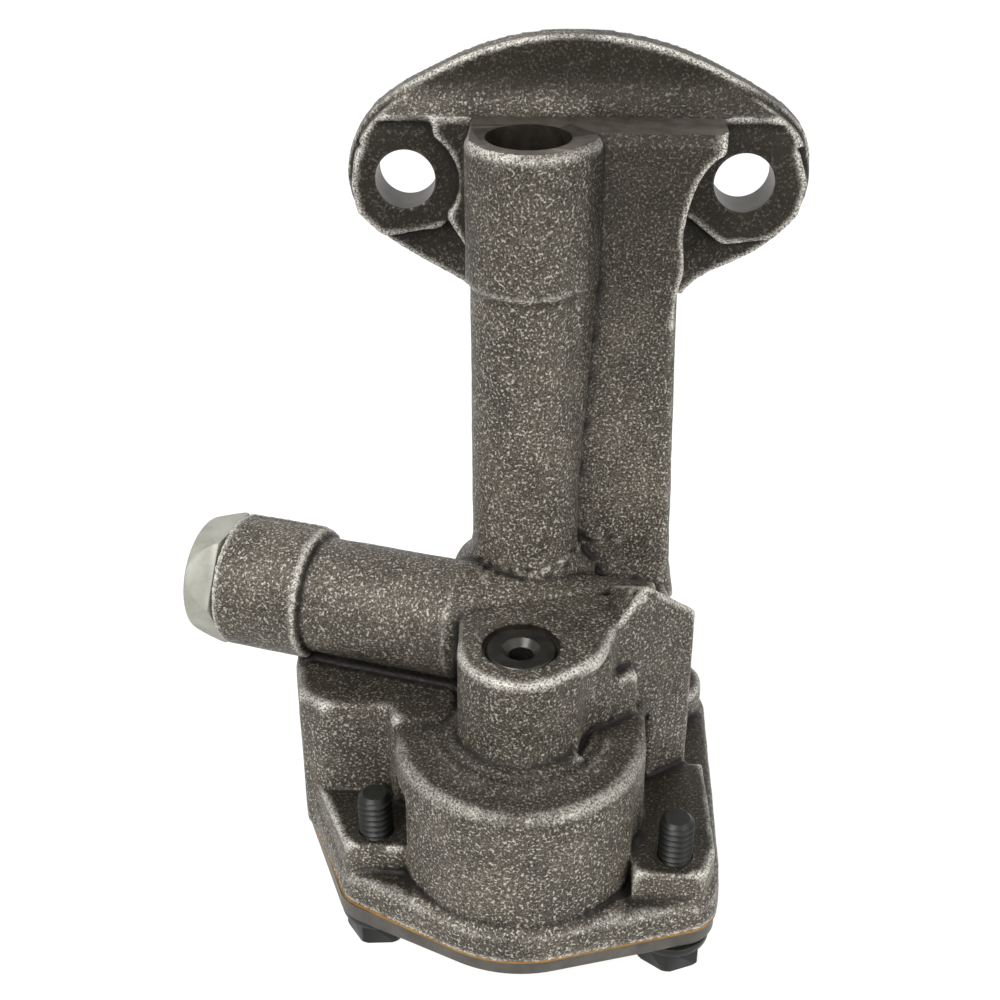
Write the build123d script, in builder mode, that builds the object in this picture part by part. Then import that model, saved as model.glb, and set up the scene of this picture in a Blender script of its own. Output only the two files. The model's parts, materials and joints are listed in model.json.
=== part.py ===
import os
from math import acos, atan2, cos, degrees, pi, radians, sin, sqrt, tan

from build123d import *

os.makedirs("parts", exist_ok=True)

# Gear pump of an engine, hung by a two-bolt flange behind its neck.
# Millimetres. Z runs up the drive bore and is 0 at the neck's top face, X runs along the
# flange, and the pump's front, with the idler lobe, looks towards -Y.

# --- heights above the gasket face ---
neck_height = 132.08
lobe_height = 31.75
ledge_height = 50.8
pad_height = 12.7
column_step_height = neck_height - 24.48
flange_hole_height = neck_height - 11.38
relief_height = 43.9
lump_height = 32.4
floor_z = -neck_height


def up(height):
    return floor_z + height


# --- gears: nine involute teeth each, 8 diametral pitch ---
tooth_count = 9
module = 25.4 / 8
pressure_angle = 25.0
centre_distance = tooth_count * module
idler_y = -centre_distance
gear_width = 25.4
gear_tip_radius = 17.46
gear_root_radius = 10.35
gear_backlash = 0.24
gear_side_clearance = 0.06
gear_tip_clearance = 0.14
pocket_radius = gear_tip_radius + gear_tip_clearance
pocket_depth = gear_width + 2 * gear_side_clearance

# --- shafts and bushes ---
shaft_radius = 6.35
running_clearance = 0.04
bush_seat_radius = 7.0
neck_bore_radius = 7.2
neck_bore_depth = 26.0
drive_shaft_top = neck_height - 26.58
bush_length = 19.0
idler_bush_wall = 1.5
centre_drill_radius = 2.2

# --- outside of the casting ---
lobe_radius = 22.6
drive_lobe_radius = 23.4
idler_boss_radius = 11.2
boss_foot = 4.0
column_radius = 9.75
column_head_radius = 10.6
nose_radius = 24.3
rim_height = 6.6
corner_radius = 7.2
side_corner_radius = 6.8
back_corner_radius = 9.1

# --- flange ---
flange_centre_x = 7.8
flange_hole_spacing = 58.8
flange_hole_radius = 5.25
flange_front_y = 15.5
flange_back_y = 20.5
boss_front_y = 12.2
spotface_radius = 9.4
flange_rise = 12.9
flange_left_margin = 10.2
flange_right_margin = 11.5

# --- right column and its oil passage ---
right_column_left = 8.0
right_column_right = 26.2
right_column_front = 1.0
right_column_back = 15.5
passage_x = 18.3
passage_y = 8.2
passage_radius = 4.75
outlet_radius = 5.0
outlet_height = neck_height - 20.08
outlet_depth = 9.0

# --- relief valve tube ---
relief_angle = 16.2
relief_offset_y = -14.0
relief_tube_radius = 10.95
relief_head_radius = 12.5
relief_head_start = 40.4
relief_head_end = 57.2
relief_bore_radius = 6.0
relief_bore_start = 16.0
relief_feed_radius = 3.6
plunger_clearance = 0.03
plug_thread_radius = 7.94
plug_thread_length = 10.5
plug_hex_flats = 22.2
plug_hex_thickness = 6.1
plug_end_radius = 11.0
plug_hex_turn = 2.0
plug_hollow_radius = 4.8
plug_hollow_depth = 5.5
washer_radius = 10.6
washer_thickness = 0.6
plunger_length = 14.0
plunger_floor = 3.0
plunger_wall = 1.3
plunger_travel = 9.0
spring_radius = 3.9
spring_wire_radius = 0.62
spring_turns = 9
shim_thickness = 0.8
return_port_distance = 25.0

# --- inlet ---
inlet_x = -32.0
inlet_height = 15.6
inlet_radius = 7.94
inlet_face_y = 17.0
inlet_end_y = -6.0

# --- cover, gasket and bolts ---
cover_thickness = 3.6
gasket_thickness = 0.5
bolt_radius = 3.175
bolt_hole_radius = 3.45
bolt_length = 25.4
bolt_flats = 11.11
bolt_head_turns = [22.7, 4.0, 14.0, 40.0]
bolt_flange_radius = 7.2
bolt_flange_thickness = 1.7
bolt_head_height = 6.7
bolt_points = [(28.15, -38.1), (-26.2, -33.3), (28.5, 15.0), (-17.0, 21.9)]
dowel_radius = 2.38
dowel_points = [(31.2, -24.0), (-32.5, -19.5)]
dowel_length = 11.0


# Outline of the base: arcs around the nose, the four bolts and the inlet side.
def base_outline(nose, corner, grow):
    with BuildSketch(Plane.XY.offset(up(0))) as outline:
        with Locations((0, idler_y)):
            Circle(nose)
        with Locations((0, 0)):
            Circle(nose_radius + grow)
        with Locations((29.3, -37.2)):
            Circle(corner_radius + 0.2 + grow)
        with Locations((30.4, -31.0)):
            Circle(corner_radius - 0.4 + grow)
        with Locations(bolt_points[1], bolt_points[3]):
            Circle(corner)
        with Locations((bolt_points[2][0] + 0.5, bolt_points[2][1])):
            Circle(back_corner_radius + grow)
        with Locations((-36.0, -11.5), (-36.0, 10.0)):
            Circle(side_corner_radius + grow)
        make_hull()
    return outline.sketch


# One gear blank side: an involute flank from the root to the tip, as points.
def flank_points(steps):
    base = centre_distance / 2 * cos(radians(pressure_angle))
    half = (pi * module / 2 - gear_backlash / 2) / 2 / (centre_distance / 2)
    inv = tan(radians(pressure_angle)) - radians(pressure_angle)
    points = []
    for i in range(steps + 1):
        r = base + (gear_tip_radius - base) * i / steps
        a = acos(base / r)
        angle = half + inv - (tan(a) - a)
        points.append((r, angle))
    return points


def gear_face(turn, plane):
    flank = flank_points(8)
    with BuildSketch(plane) as face:
        with BuildLine():
            first = None
            last = None
            for k in range(tooth_count):
                centre = radians(turn) + 2 * pi * k / tooth_count
                low = [(r * cos(centre - a), r * sin(centre - a)) for r, a in flank]
                high = [(r * cos(centre + a), r * sin(centre + a)) for r, a in reversed(flank)]
                a0 = flank[0][1]
                foot_in = (gear_root_radius * cos(centre - a0 - 0.02),
                           gear_root_radius * sin(centre - a0 - 0.02))
                foot_out = (gear_root_radius * cos(centre + a0 + 0.02),
                            gear_root_radius * sin(centre + a0 + 0.02))
                if last is not None:
                    gap = centre - pi / tooth_count
                    mid = (gear_root_radius * cos(gap), gear_root_radius * sin(gap))
                    ThreePointArc(last, mid, foot_in)
                else:
                    first = foot_in
                Line(foot_in, low[0])
                Spline(*low)
                tip = (gear_tip_radius * cos(centre), gear_tip_radius * sin(centre))
                ThreePointArc(low[-1], tip, high[0])
                Spline(*high)
                Line(high[-1], foot_out)
                last = foot_out
            gap = radians(turn) - pi / tooth_count
            mid = (gear_root_radius * cos(gap), gear_root_radius * sin(gap))
            ThreePointArc(last, mid, first)
        make_face()
    return face.sketch


# Plane square to the relief valve's axis, at a distance from the pump's middle plane.
relief_dir = Vector(-cos(radians(relief_angle)), sin(radians(relief_angle)), 0)


def relief_plane(distance):
    start = Vector(0, relief_offset_y, up(relief_height)) + relief_dir * distance
    return Plane(origin=start, x_dir=(sin(radians(relief_angle)), cos(radians(relief_angle)), 0),
                 z_dir=relief_dir)


# --- masses of the casting, each rounded on its own before they are joined ---
with BuildPart() as base_mass:
    add(base_outline(nose_radius, corner_radius, 0))
    extrude(amount=rim_height)
    fillet(base_mass.faces().sort_by(Axis.Z)[-1].edges(), 2.4)

with BuildPart() as lobe_mass:
    with BuildSketch(Plane.XY.offset(up(0.5))):
        with Locations((0, idler_y)):
            Circle(lobe_radius)
        with Locations((0, 0)):
            Circle(drive_lobe_radius)
        make_hull()
    extrude(amount=lobe_height - 0.5)
    fillet(lobe_mass.faces().sort_by(Axis.Z)[-1].edges(), 2.2)

with BuildPart() as lump_mass:
    with BuildSketch(Plane.XY.offset(up(0.5))):
        with BuildLine():
            FilletPolyline((-43.6, 16.5), (-43.6, -8.0), (-41.6, -18.4), (-36.7, -22.3),
                           (-24.6, -22.2), (-23.2, -26.7), (-12.0, -26.7), (-12.0, 16.5), radius=2.0)
            Line((-12.0, 16.5), (-43.6, 16.5))
        make_face()
    extrude(amount=lump_height - 0.5)
    fillet(lump_mass.faces().sort_by(Axis.Z)[-1].edges().filter_by_position(Axis.Y, -30, 15), 1.8)

# Inlet boss that stands out at the back for the pickup tube.
with BuildPart() as inlet_mass:
    with BuildSketch(Plane.XZ.offset(-inlet_face_y)):
        with Locations((inlet_x, up(inlet_height))):
            Circle(inlet_radius + 3.4)
    extrude(amount=14.0)

# Boss around the idler shaft; its ledge runs back and to the right into the shoulder.
with BuildPart() as boss_mass:
    with BuildSketch(Plane.XY.offset(up(lobe_height - 4))):
        with Locations((0, idler_y)):
            Circle(idler_boss_radius)
        with Locations((-idler_boss_radius + 0.5, -12.0)):
            Circle(0.5)
        with Locations((7.6, -27.0)):
            Circle(7.5)
        with Locations((16.6, -21.5), (16.6, -12.0)):
            Circle(0.5)
        make_hull()
    extrude(amount=ledge_height - lobe_height + 4)
    fillet(boss_mass.faces().sort_by(Axis.Z)[-1].edges().filter_by_position(Axis.Y, -45, -13), 1.2)
    with BuildSketch(Plane.YZ):
        with BuildLine():
            Polyline((idler_y, up(lobe_height + 4.2)), (idler_y, up(lobe_height - 1.0)),
                     (idler_y - idler_boss_radius - boss_foot, up(lobe_height - 1.0)),
                     (idler_y - idler_boss_radius - boss_foot, up(lobe_height + 0.2)))
            Spline((idler_y - idler_boss_radius - boss_foot, up(lobe_height + 0.2)),
                   (idler_y - idler_boss_radius - 1.2, up(lobe_height + 1.4)),
                   (idler_y - idler_boss_radius, up(lobe_height + 4.2)))
            Line((idler_y - idler_boss_radius, up(lobe_height + 4.2)), (idler_y, up(lobe_height + 4.2)))
        make_face()
    revolve(axis=Axis((0, idler_y, 0), (0, 0, 1)))
    # Scooped hollow between the boss and the outlet block.
    with BuildSketch(Plane.XY.offset(up(lobe_height - 4))):
        with Locations((20.4, -35.0)):
            Circle(10.2)
    extrude(amount=ledge_height - lobe_height + 4 - 2.6, mode=Mode.SUBTRACT)

# Shoulder that carries the relief tube's line on across the foot of the neck.
with BuildPart() as shoulder_mass:
    with BuildSketch(relief_plane(12.0)):
        Circle(relief_tube_radius)
    with BuildSketch(Plane.YZ.offset(24.5)):
        with Locations((-7.7, up(relief_height - 1.6))):
            Circle(7.4)
    loft()
    with BuildSketch(Plane.YZ.offset(-9.0)):
        with Locations((-0.3, up(relief_height - 8.4))):
            Rectangle(18.0, 24.0)
    extrude(amount=29.0)

# Web between the relief tube and the inlet side.
with BuildPart() as web_mass:
    with BuildSketch(Plane.XY.offset(up(lump_height - 6))):
        with BuildLine():
            Polyline((-41.0, -8.0), (-10.0, -17.0), (-10.0, 2.0), (-41.0, 6.0), (-41.0, -8.0))
        make_face()
    extrude(amount=relief_height - lump_height + 6)

# Outlet block at the right of the shoulder, with one slanted flat face.
facet_start = Vector(17.0, -21.6, 0)
facet_end = Vector(31.9, -11.4, 0)
facet_dir = (facet_end - facet_start).normalized()
facet_length = (facet_end - facet_start).length
facet_plane = Plane(origin=(facet_start.X, facet_start.Y, floor_z),
                    x_dir=(facet_dir.X, facet_dir.Y, 0), z_dir=(facet_dir.Y, -facet_dir.X, 0))
with BuildPart() as block_mass:
    with BuildSketch(facet_plane):
        with BuildLine():
            Polyline((0, 50.6), (6.5, 57.0), (facet_length, 47.4), (facet_length, 4.0),
                     (8.6, 4.0), (8.6, 27.0), (0, 41.5), (0, 50.6))
        make_face()
    with BuildSketch(facet_plane.offset(-16.0)):
        with BuildLine():
            Polyline((0, 44.0), (6.5, 48.5), (facet_length, 44.0), (facet_length, 4.0),
                     (8.6, 4.0), (8.6, 27.0), (0, 38.0), (0, 44.0))
        make_face()
    loft(ruled=True)
    with BuildSketch(Plane.XY.offset(up(4.0))):
        with BuildLine():
            Polyline((facet_end.X, facet_end.Y), (facet_end.X - 1.0, -9.0), (28.0, -5.5),
                     (26.4, 0.5), (26.4, right_column_back), (12.0, right_column_back), (12.0, -6.0),
                     (24.0, -8.0), (facet_end.X, facet_end.Y))
        make_face()
    extrude(amount=42.0)

# Neck: round front column with a flared foot and a head; its right flank swells upwards.
with BuildPart() as neck_mass:
    with BuildSketch(Plane.XY.offset(up(20.0))):
        Circle(column_radius)
        with Locations((-0.25, 6.0)):
            Rectangle(2 * column_radius - 1.5, 12.0)
    extrude(amount=column_step_height - 20.0)
    with BuildSketch(Plane.XY.offset(up(54.0))):
        with Locations((0.4, 1.5)):
            Circle(8.7)
    with BuildSketch(Plane.XY.offset(up(column_step_height))):
        with Locations((3.3, 2.0)):
            Circle(9.0)
    loft()
    with BuildSketch(Plane.XY.offset(up(column_step_height - 0.5))):
        Circle(column_head_radius)
        with Locations((2.8, 2.0)):
            Circle(column_head_radius - 0.9)
        with Locations((-7.6, 13.0), (10.0, 13.0)):
            Circle(2.4)
        make_hull()
    extrude(amount=neck_height - column_step_height + 0.5)
    fillet(neck_mass.faces().sort_by(Axis.Z)[-1].edges(), 1.3)
    with BuildSketch(Plane.XZ):
        with BuildLine():
            Polyline((0, up(57.5)), (0, up(40.0)), (column_radius + 3.6, up(40.0)),
                     (column_radius + 3.6, up(50.2)))
            Spline((column_radius + 3.6, up(50.2)), (column_radius + 1.1, up(52.8)),
                   (column_radius, up(57.5)))
            Line((column_radius, up(57.5)), (0, up(57.5)))
        make_face()
    revolve(axis=Axis.Z)

with BuildPart() as right_column_mass:
    with BuildSketch(Plane.XY.offset(up(42.0))):
        with Locations((15.8, (right_column_front + right_column_back) / 2 - 1.6)):
            RectangleRounded(25.6, right_column_back - right_column_front, 2.6)
    with BuildSketch(Plane.XY.offset(up(54.0))):
        with Locations((15.2, (right_column_front + right_column_back) / 2 + 0.3)):
            RectangleRounded(22.6, right_column_back - right_column_front - 0.6, 1.8)
    loft()
    with BuildSketch(Plane.XY.offset(up(40.0))):
        with Locations((15.6, (right_column_front + right_column_back) / 2)):
            RectangleRounded(24.2, right_column_back - right_column_front, 1.8)
    with BuildSketch(Plane.XY.offset(-30.0)):
        with Locations((14.9, (right_column_front + right_column_back) / 2)):
            RectangleRounded(22.2, right_column_back - right_column_front, 1.8)
    loft()
    with BuildSketch(Plane.XY.offset(-30.0)):
        with Locations((14.9, (right_column_front + right_column_back) / 2)):
            RectangleRounded(22.2, right_column_back - right_column_front, 1.8)
    extrude(amount=30.0)
    # The column spreads at its top to meet the flange's right boss.
    with BuildSketch(Plane.XZ.offset(-right_column_front)):
        with BuildLine():
            Polyline((14.0, 0), (33.0, 0), (32.6, -4.6))
            Spline((32.6, -4.6), (29.0, -7.2), (27.2, -12.0), (26.4, -18.4), (26.8, -22.4),
                   (26.0, -27.6), (25.6, -34.0))
            Polyline((25.6, -34.0), (14.0, -34.0), (14.0, 0))
        make_face()
    extrude(amount=-(flange_back_y - right_column_front - 2.0))

# Round taken off the top front edge of the right column.
with BuildPart() as edge_round:
    with BuildSketch(Plane.YZ.offset(11.0)):
        with Locations((right_column_front + 1.0, -1.0)):
            Rectangle(2.4, 2.4)
        with Locations((right_column_front + 2.2, -2.2)):
            Circle(2.2, mode=Mode.SUBTRACT)
    extrude(amount=26.0)

# Flange plate behind the neck: a half-moon with sloping lower edges.
hole_left_x = flange_centre_x - flange_hole_spacing / 2
hole_right_x = flange_centre_x + flange_hole_spacing / 2
def flange_outline(y, inset):
    left = hole_left_x - flange_left_margin + inset
    right = hole_right_x + flange_right_margin - inset
    top = flange_rise - inset
    with BuildSketch(Plane.XZ.offset(-y)) as outline:
        with BuildLine():
            Spline((left, -9.1), (left + 6.2, top - 11.6), (left + 14.7, top - 6.5),
                   (-9.6, top - 3.1), (8.3, top), (26.0, top - 3.2), (right - 15.9, top - 6.1),
                   (right - 8.7, top - 10.0), (right - 3.6, top - 13.6), (right, -9.1))
            Spline((right, -9.1), (right - 0.8, -16.9), (right - 6.0, -23.7), (34.6, -28.4),
                   (30.2, -30.9), (28.0, -33.6))
            Line((28.0, -33.6), (-11.0, -32.5))
            Spline((-11.0, -32.5), (-23.6, -24.7), (left + 1.4, -18.1), (left, -9.1))
        make_face()
    return outline.sketch


with BuildPart() as flange_mass:
    add(flange_outline(flange_front_y, 0))
    extrude(amount=flange_back_y - flange_front_y, dir=(0, 1, 0))

# Bosses around the two mounting holes, flat to the front.
with BuildPart() as boss_left_mass:
    with BuildSketch(Plane.XZ.offset(-boss_front_y)) as boss_left_sketch:
        with BuildLine():
            Polyline((-31.2, -12.6), (-30.2, -6.7), (-25.1, -2.2), (-16.4, -0.8),
                     (-9.4, -7.3), (-9.4, -14.4), (-15.6, -20.4), (-25.9, -22.2),
                     (-30.4, -17.6), (-31.2, -12.6))
        make_face()
        fillet(boss_left_sketch.vertices(), 2.0)
    extrude(amount=-(flange_back_y - boss_front_y - 0.5))

# Flank of the neck that the left spot face is cut into.
with BuildPart() as flank_mass:
    with BuildSketch(Plane.XZ.offset(-boss_front_y + 1.4)):
        with BuildLine():
            Polyline((-16.8, -0.8), (-8.8, -0.3), (-8.8, -27.5), (-10.4, -24.6), (-14.0, -18.6),
                     (-16.8, -0.8))
        make_face()
    extrude(amount=-4.0)

with BuildPart() as boss_right_mass:
    with BuildSketch(Plane.XZ.offset(-boss_front_y)) as boss_right_sketch:
        with BuildLine():
            Polyline((27.0, -8.1), (31.3, -0.6), (41.1, -1.7), (46.4, -6.1),
                     (48.2, -11.6), (47.2, -17.3), (43.0, -21.9), (34.1, -22.9),
                     (27.0, -17.2), (27.0, -8.1))
        make_face()
        fillet(boss_right_sketch.vertices(), 2.0)
    extrude(amount=-(flange_back_y - boss_front_y - 0.5))

# Cove that runs up from the neck's top and the bosses to the plate.
cove_start_y = 11.4
cove_end_y = flange_front_y + 0.4
cove_rise = 9.0
with BuildPart() as cove_mass:
    with BuildSketch(Plane.YZ.offset(-33.0)):
        with BuildLine():
            Bezier((cove_start_y, 0), (cove_start_y + 2.4, 0), (cove_end_y, cove_rise - 4.0),
                   (cove_end_y, cove_rise))
            Polyline((cove_end_y, cove_rise), (cove_end_y, -5.0), (boss_front_y + 0.3, -5.0),
                     (boss_front_y + 0.3, -1.0), (cove_start_y, -1.0), (cove_start_y, 0))
        make_face()
    extrude(amount=84.0)
    add(flange_outline(8.0, 0.7))
    extrude(amount=10.0, dir=(0, 1, 0), mode=Mode.INTERSECT)

# Tube of the relief valve with its larger head.
with BuildPart() as relief_mass:
    with BuildSketch(relief_plane(11.5)):
        Circle(relief_tube_radius)
    extrude(amount=relief_head_start - 11.0)
    with BuildSketch(relief_plane(relief_head_start)):
        Circle(relief_head_radius)
    extrude(amount=relief_head_end - relief_head_start)

# Raised pads that carry the bolt threads: two blocks at the front, two round ones at the back.
with BuildPart() as pad_mass:
    with BuildSketch(Plane.XY.offset(up(1.0))):
        with Locations(bolt_points[2]):
            Circle(back_corner_radius - 0.7)
        with Locations(bolt_points[3]):
            Circle(corner_radius - 0.6)
        with BuildLine():
            Polyline((20.5, -43.2), (33.4, -43.2), (35.6, -37.0), (35.2, -12.0), (20.5, -12.0),
                     (20.5, -43.2))
        make_face()
        with BuildLine():
            Polyline((-17.0, -38.6), (-21.4, -38.2), (-31.5, -37.4), (-42.0, -22.0), (-40.0, -20.0),
                     (-17.0, -20.0), (-17.0, -38.6))
        make_face()
    extrude(amount=pad_height - 0.5)
    add(base_outline(nose_radius - 0.6, corner_radius - 0.6, -0.6))
    extrude(amount=pad_height - 0.2, mode=Mode.INTERSECT)

with BuildPart() as pump_body:
    add(base_mass.part)
    add(lobe_mass.part)
    add(lump_mass.part)
    add(inlet_mass.part)
    add(pad_mass.part)
    add(boss_mass.part)
    add(shoulder_mass.part)
    add(web_mass.part)
    add(block_mass.part)
    add(relief_mass.part)
    add(neck_mass.part)
    add(right_column_mass.part)
    add(edge_round.part, mode=Mode.SUBTRACT)
    add(flange_mass.part)
    add(cove_mass.part)
    add(boss_left_mass.part)
    add(flank_mass.part)
    add(boss_right_mass.part)
    # spot faces around the flange holes, cut into the neck's flanks
    with BuildSketch(Plane.XZ.offset(-boss_front_y)):
        with Locations((hole_left_x, up(flange_hole_height)), (hole_right_x, up(flange_hole_height))):
            Circle(spotface_radius)
    extrude(amount=14.0, mode=Mode.SUBTRACT)
    with BuildSketch(Plane.XZ.offset(-flange_back_y - 1)):
        with Locations((hole_left_x, up(flange_hole_height)), (hole_right_x, up(flange_hole_height))):
            Circle(flange_hole_radius)
    extrude(amount=14.0, mode=Mode.SUBTRACT)
    # flange's mounting face, milled flat
    with BuildSketch(Plane.XZ.offset(-flange_back_y)):
        with Locations((0, up(110.0))):
            Rectangle(120.0, 60.0)
    extrude(amount=-20.0, mode=Mode.SUBTRACT)
    # spot faces on the bolt pads
    with BuildSketch(Plane.XY.offset(up(pad_height))):
        with Locations(bolt_points[0], bolt_points[1]):
            Circle(8.0)
        with Locations(bolt_points[2], bolt_points[3]):
            Circle(5.6)
    extrude(amount=12.0, mode=Mode.SUBTRACT)
    with BuildSketch(Plane.XY.offset(up(0))):
        with Locations(*bolt_points):
            Circle(bolt_radius)
    extrude(amount=pad_height + 1.0, mode=Mode.SUBTRACT)
    # gear pocket, two overlapping bores from the gasket face
    with BuildSketch(Plane.XY.offset(up(0))):
        with Locations((0, 0), (0, idler_y)):
            Circle(pocket_radius)
    extrude(amount=pocket_depth, mode=Mode.SUBTRACT)
    # drive bore: seats for the two bushes, a relieved length between, the mouth at the top
    with BuildSketch(Plane.XY.offset(up(0))):
        Circle(bush_seat_radius)
    extrude(amount=pocket_depth + bush_length, mode=Mode.SUBTRACT)
    with BuildSketch(Plane.XY.offset(up(0))):
        Circle(shaft_radius + 0.35)
    extrude(amount=neck_height, mode=Mode.SUBTRACT)
    with BuildSketch(Plane.XY):
        Circle(bush_seat_radius)
    extrude(amount=-neck_bore_depth - bush_length, mode=Mode.SUBTRACT)
    with BuildSketch(Plane.XY):
        Circle(neck_bore_radius)
    extrude(amount=-neck_bore_depth, mode=Mode.SUBTRACT)
    # idler shaft hole through the boss
    with BuildSketch(Plane.XY.offset(up(0))):
        with Locations((0, idler_y)):
            Circle(shaft_radius)
    extrude(amount=ledge_height + 1, mode=Mode.SUBTRACT)
    # outlet port beside the mesh, the passage up the right column and the flange outlet
    with BuildSketch(Plane.XY.offset(up(0))):
        with Locations((13.0, idler_y / 2)):
            Circle(5.6)
        with Locations((passage_x, passage_y)):
            Circle(passage_radius)
        make_hull()
    extrude(amount=pocket_depth, mode=Mode.SUBTRACT)
    with BuildSketch(Plane.XY.offset(up(0))):
        with Locations((passage_x, passage_y)):
            Circle(passage_radius)
    extrude(amount=outlet_height + outlet_radius, mode=Mode.SUBTRACT)
    with BuildSketch(Plane.XZ.offset(-flange_back_y)):
        with Locations((passage_x, up(outlet_height))):
            Circle(outlet_radius)
    extrude(amount=outlet_depth, mode=Mode.SUBTRACT)
    # inlet bore from the back and the port into the mesh
    with BuildSketch(Plane.XZ.offset(-inlet_face_y)):
        with Locations((inlet_x, up(inlet_height))):
            Circle(inlet_radius)
    extrude(amount=inlet_face_y - inlet_end_y, mode=Mode.SUBTRACT)
    with BuildSketch(Plane.XY.offset(up(inlet_height - inlet_radius + 0.5))):
        with Locations((-13.0, idler_y / 2)):
            Circle(5.6)
        with Locations((inlet_x, -8.0)):
            Circle(inlet_radius - 0.6)
        make_hull()
    extrude(amount=2 * inlet_radius - 1.0, mode=Mode.SUBTRACT)
    # relief valve: plunger bore, thread for the plug, feed from the outlet port, return to the inlet
    with BuildSketch(relief_plane(relief_bore_start)):
        Circle(relief_bore_radius)
    extrude(amount=relief_head_end - relief_bore_start, mode=Mode.SUBTRACT)
    with BuildSketch(relief_plane(relief_head_end)):
        Circle(plug_thread_radius)
    extrude(amount=-plug_thread_length - 0.6, mode=Mode.SUBTRACT)
    with BuildSketch(relief_plane(relief_bore_start + 1)):
        Circle(relief_feed_radius)
    extrude(amount=-relief_bore_start - 1 - 12.9, mode=Mode.SUBTRACT)
    with BuildSketch(Plane.XY.offset(up(pocket_depth - 4))):
        with Locations((12.5, relief_offset_y - 12.5 * tan(radians(relief_angle)))):
            Circle(3.0)
    extrude(amount=relief_height - pocket_depth + 4, mode=Mode.SUBTRACT)
    with BuildSketch(Plane.XY.offset(up(inlet_height))):
        with Locations((relief_dir.X * return_port_distance,
                        relief_offset_y + relief_dir.Y * return_port_distance)):
            Circle(3.0)
    extrude(amount=relief_height - inlet_height, mode=Mode.SUBTRACT)
    # dowel holes
    with BuildSketch(Plane.XY.offset(up(0))):
        with Locations(*dowel_points):
            Circle(dowel_radius)
    extrude(amount=dowel_length - cover_thickness - gasket_thickness + 0.8, mode=Mode.SUBTRACT)
pump_body.part.label = "pump_body"
export_step(pump_body.part, "parts/pump_body.step")

# --- cover side ---
cover_top = -gasket_thickness
cover_bottom = cover_top - cover_thickness
with BuildPart() as cover_gasket:
    add(base_outline(nose_radius - 0.2, corner_radius + 0.1, -0.1))
    extrude(amount=-gasket_thickness)
    with BuildSketch(Plane.XY.offset(up(0))):
        with Locations((0, 0), (0, idler_y)):
            Circle(pocket_radius + 0.4)
        with Locations(*bolt_points):
            Circle(bolt_hole_radius)
        with Locations(*dowel_points):
            Circle(dowel_radius)
    extrude(amount=-gasket_thickness, mode=Mode.SUBTRACT)
    with BuildSketch(Plane.XY.offset(up(0))):
        with Locations((13.0, idler_y / 2)):
            Circle(6.0)
        with Locations((passage_x, passage_y)):
            Circle(passage_radius + 0.4)
        make_hull()
    extrude(amount=-gasket_thickness, mode=Mode.SUBTRACT)
cover_gasket.part.label = "cover_gasket"
export_step(cover_gasket.part, "parts/cover_gasket.step")

with BuildPart() as cover_plate:
    add(base_outline(nose_radius - 0.9, corner_radius + 0.3, -0.5).moved(Location((0, 0, cover_top))))
    extrude(amount=-cover_thickness)
    fillet(cover_plate.faces().sort_by(Axis.Z)[0].edges(), 0.5)
    with BuildSketch(Plane.XY.offset(up(cover_top))):
        with Locations(*bolt_points):
            Circle(bolt_hole_radius)
        with Locations(*dowel_points):
            Circle(dowel_radius)
    extrude(amount=-cover_thickness, mode=Mode.SUBTRACT)
cover_plate.part.label = "cover_plate"
export_step(cover_plate.part, "parts/cover_plate.step")

with BuildPart() as cover_bolts:
    with BuildSketch(Plane.XY.offset(up(cover_bottom))):
        with Locations(*bolt_points):
            Circle(bolt_radius)
    extrude(amount=bolt_length)
    chamfer(cover_bolts.faces().filter_by(Axis.Z).group_by(Axis.Z)[-1].edges(), 0.55)
    with BuildSketch(Plane.XY.offset(up(cover_bottom))):
        with Locations(*bolt_points):
            Circle(bolt_flange_radius)
    extrude(amount=-bolt_flange_thickness)
    with BuildSketch(Plane.XY.offset(up(cover_bottom - bolt_flange_thickness))):
        for bolt_point, head_turn in zip(bolt_points, bolt_head_turns):
            with Locations(bolt_point):
                RegularPolygon(bolt_flats / 2, 6, major_radius=False, rotation=head_turn)
    extrude(amount=bolt_flange_thickness - bolt_head_height)
    chamfer(cover_bolts.faces().filter_by(Axis.Z).group_by(Axis.Z)[0].edges(), 0.5)
cover_bolts.part.label = "cover_bolts"
export_step(cover_bolts.part, "parts/cover_bolts.step")

with BuildPart() as cover_dowels:
    with BuildSketch(Plane.XY.offset(up(cover_bottom + 0.4))):
        with Locations(*dowel_points):
            Circle(dowel_radius)
    extrude(amount=dowel_length - 0.4)
    chamfer(cover_dowels.faces().filter_by(Axis.Z).edges(), 0.3)
cover_dowels.part.label = "cover_dowels"
export_step(cover_dowels.part, "parts/cover_dowels.step")

# --- gears and shafts ---
gear_bottom = gear_side_clearance
key_width = 3.18
key_inner = 4.7
key_outer = 7.9
key_length = 14.0
with BuildPart() as drive_shaft:
    with BuildSketch(Plane.XY.offset(up(gear_bottom))):
        Circle(shaft_radius)
    extrude(amount=drive_shaft_top - gear_bottom)
    chamfer(drive_shaft.faces().filter_by(Axis.Z).edges(), 0.6)
    with BuildSketch(Plane.XY.offset(up(drive_shaft_top))):
        RegularPolygon(7.94 / 2, 6, major_radius=False)
    extrude(amount=-14.0, mode=Mode.SUBTRACT)
    with BuildSketch(Plane.XY.offset(up(gear_bottom + 4.0))):
        with Locations(((key_inner + key_outer) / 2, 0)):
            Rectangle(key_outer - key_inner, key_width)
    extrude(amount=key_length, mode=Mode.SUBTRACT)
drive_shaft.part.label = "drive_shaft"
export_step(drive_shaft.part, "parts/drive_shaft.step")

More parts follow.
